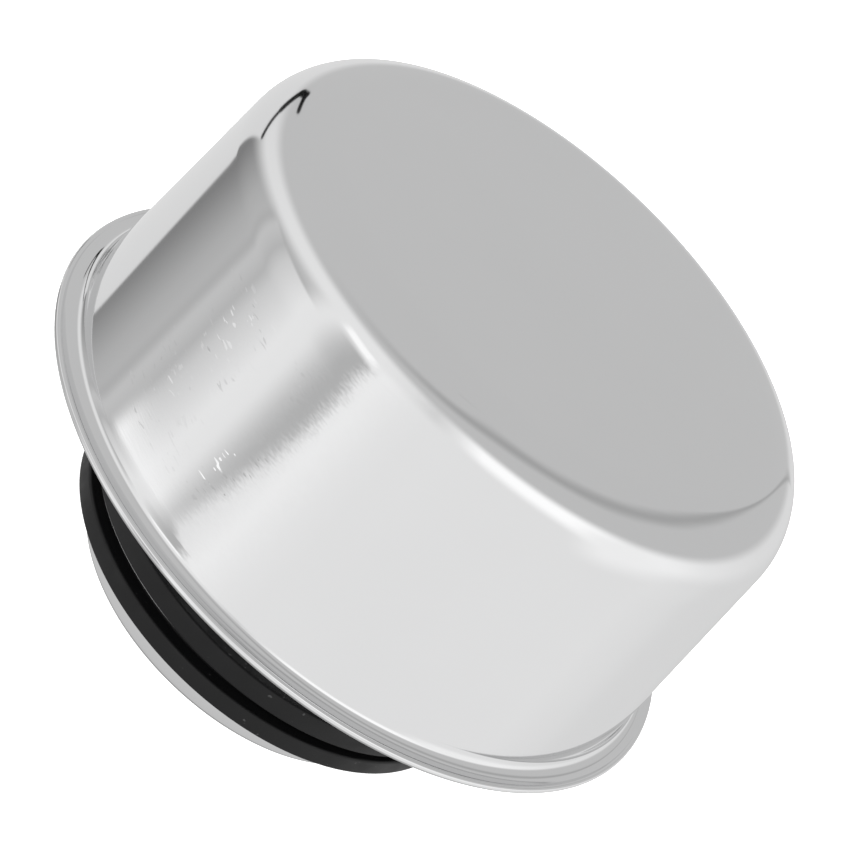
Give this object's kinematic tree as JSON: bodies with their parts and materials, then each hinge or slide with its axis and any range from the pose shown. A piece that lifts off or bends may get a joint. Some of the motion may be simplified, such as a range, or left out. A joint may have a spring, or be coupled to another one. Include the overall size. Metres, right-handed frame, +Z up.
{
  "type": "push-in filler breather cap",
  "caption": "Chrome cup-shaped filler-breather cap with a flat rim, on a short neck with a grooved rubber grommet that pushes into a panel hole.",
  "frame": {"origin": "centre of the neck's foot, at the bottom of the cap", "axes": "+Z up the cap's axis, from the neck's foot to the flat top of the cup; X and Y across"},
  "size_m": [0.0762, 0.0762, 0.0521],
  "materials": {
    "chrome": "bright chrome plate on polished steel",
    "zinc_steel": "zinc-plated pressed steel",
    "spring_steel": "drawn spring wire",
    "brass": "stamped brass",
    "black_rubber": "satin moulded rubber",
    "filter_paper": "resin-treated pleated paper",
    "felt": "pressed felt"
  },
  "bodies": {
    "seal": {"grommet": "black_rubber"},
    "cap": {"cap_shell": "chrome", "neck_tube": "chrome", "base_pan": "zinc_steel", "valve_seat": "brass", "spring_bridge": "zinc_steel", "bridge_rivet_1": "zinc_steel", "bridge_rivet_2": "zinc_steel", "bridge_rivet_3": "zinc_steel", "relief_spring": "spring_steel", "support_core": "zinc_steel", "filter_element": "filter_paper", "lower_gasket": "felt", "upper_gasket": "felt", "element_cover": "zinc_steel", "hold_down_spring": "spring_steel", "splash_baffle": "zinc_steel", "strainer_screen": "zinc_steel", "screen_ring": "spring_steel"},
    "relief_valve": {"relief_plate": "brass", "relief_seal": "black_rubber", "vacuum_spring": "spring_steel"},
    "vacuum_valve": {"vacuum_disc": "brass", "vacuum_stem": "brass", "vacuum_retainer": "zinc_steel"}
  },
  "joints": [
    {"name": "cap_lift", "type": "slide", "parent": "seal", "child": "cap", "axis": [0, 0, 1], "range_m": [0, 0.0125]},
    {"name": "relief_open", "type": "slide", "parent": "cap", "child": "relief_valve", "axis": [0, 0, 1], "range_m": [0, 0.0025], "stiffness_N_per_m": 1500, "springref_m": -0.0052, "deforming": ["relief_spring"]},
    {"name": "vacuum_open", "type": "slide", "parent": "relief_valve", "child": "vacuum_valve", "axis": [0, 0, -1], "range_m": [0, 0.0015], "stiffness_N_per_m": 120, "springref_m": -0.0016, "deforming": ["vacuum_spring"]}
  ]
}
